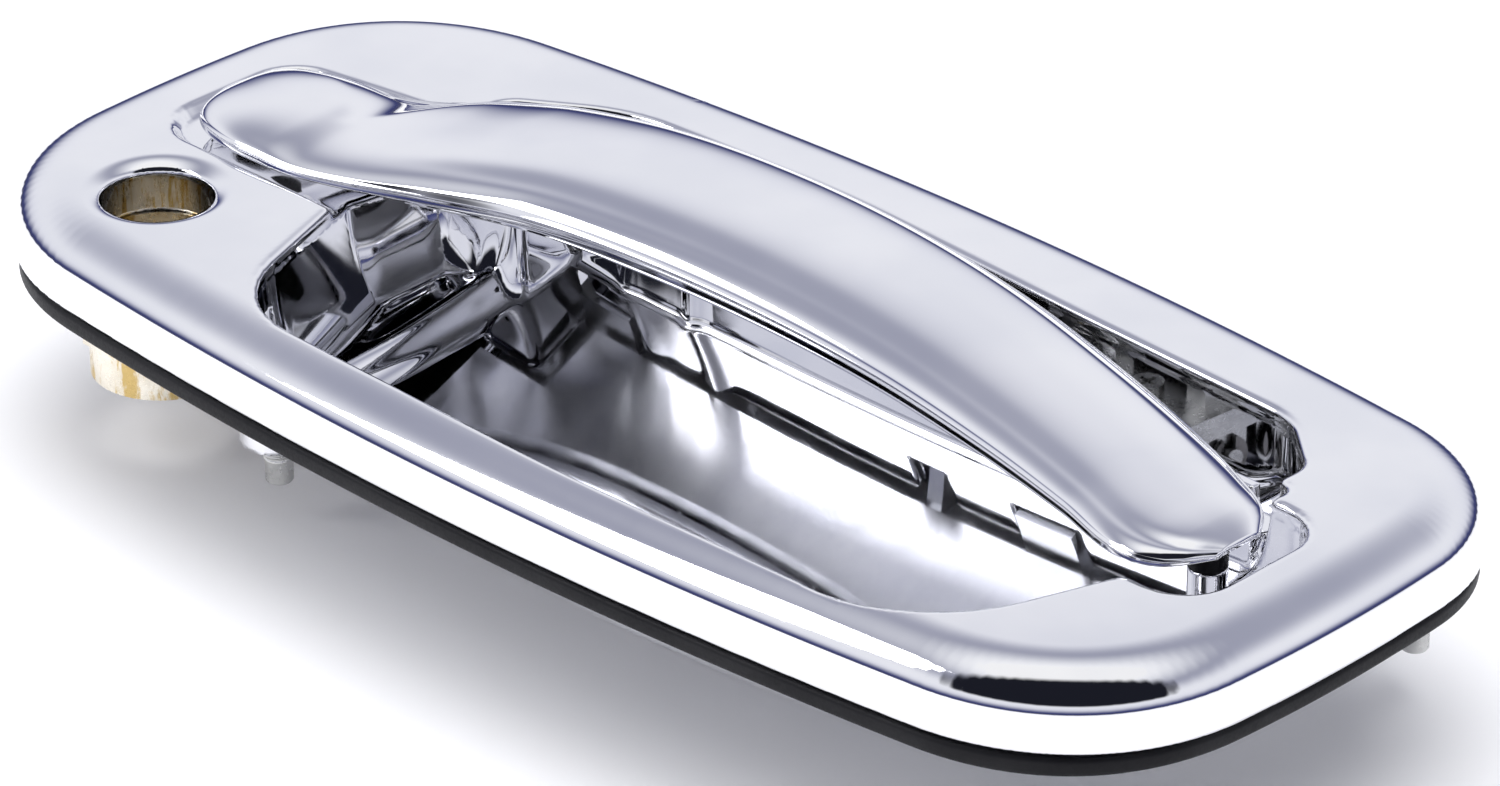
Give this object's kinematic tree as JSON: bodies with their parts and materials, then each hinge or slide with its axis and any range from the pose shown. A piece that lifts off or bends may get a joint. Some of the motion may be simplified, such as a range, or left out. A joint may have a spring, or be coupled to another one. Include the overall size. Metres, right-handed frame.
{
  "type": "car door handle",
  "caption": "Exterior car door handle: chromed oval bezel with a finger recess, a hinged pull paddle, a lock bore, and the lever behind it that works the latch rod.",
  "frame": {"origin": "centre of the door's cut-out, on the outer face of the door skin, where the back of the gasket lies", "axes": "+Z out of the door, +X along the handle away from the lock, +Y towards the paddle's hinge"},
  "size_m": [0.248, 0.1166, 0.0507],
  "materials": {
    "chrome": "polished",
    "gasket_rubber": "matte",
    "zinc_plated_steel": "satin",
    "yellow_plated_steel": "satin",
    "raw_zinc": "matte",
    "spring_steel": "satin",
    "black_plastic": "satin",
    "natural_nylon": "satin",
    "yellow_plastic": "satin"
  },
  "bodies": {
    "housing": {"bezel": "chrome", "gasket": "gasket_rubber", "mounting_studs": "zinc_plated_steel", "lock_housing": "raw_zinc", "lock_clip": "spring_steel", "hinge_bracket": "zinc_plated_steel", "hinge_bracket_screws": "zinc_plated_steel", "hinge_pin": "zinc_plated_steel", "pin_clips": "spring_steel", "return_spring": "spring_steel", "pivot_bracket": "zinc_plated_steel", "pivot_bracket_screws": "zinc_plated_steel", "lever_pin": "zinc_plated_steel", "lever_clip": "spring_steel", "lever_spring": "spring_steel", "paddle_bumpers": "gasket_rubber"},
    "paddle": {"paddle_shell": "chrome", "paddle_liner": "chrome", "hinge_frame": "black_plastic", "hinge_bushings": "natural_nylon", "frame_screws": "zinc_plated_steel", "finger_sleeve": "natural_nylon"},
    "lever": {"lever": "yellow_plated_steel", "lever_bush": "natural_nylon"},
    "rod_clip": {"rod_clip": "yellow_plastic"}
  },
  "joints": [
    {"name": "paddle_hinge", "type": "hinge", "parent": "housing", "child": "paddle", "pos_m": [0, 0.024, 0.01], "axis": [-1, 0, 0], "range_deg": [0, 28], "stiffness_Nm_per_rad": 0.5, "springref_deg": -34.38},
    {"name": "lever_pivot", "type": "hinge", "parent": "housing", "child": "lever", "pos_m": [-0.0026, 0.03534, -0.021], "axis": [0, 0, -1], "range_deg": [0, 28], "stiffness_Nm_per_rad": 0.02, "springref_deg": -11.46},
    {"name": "rod_clip_turn", "type": "hinge", "parent": "lever", "child": "rod_clip", "pos_m": [-0.0026, 0.00934, -0.021], "axis": [0, 0, -1], "range_deg": [-40, 40]}
  ],
  "couplings": [
    {"joint": "lever_pivot", "follows": "paddle_hinge", "ratio": 1}
  ]
}
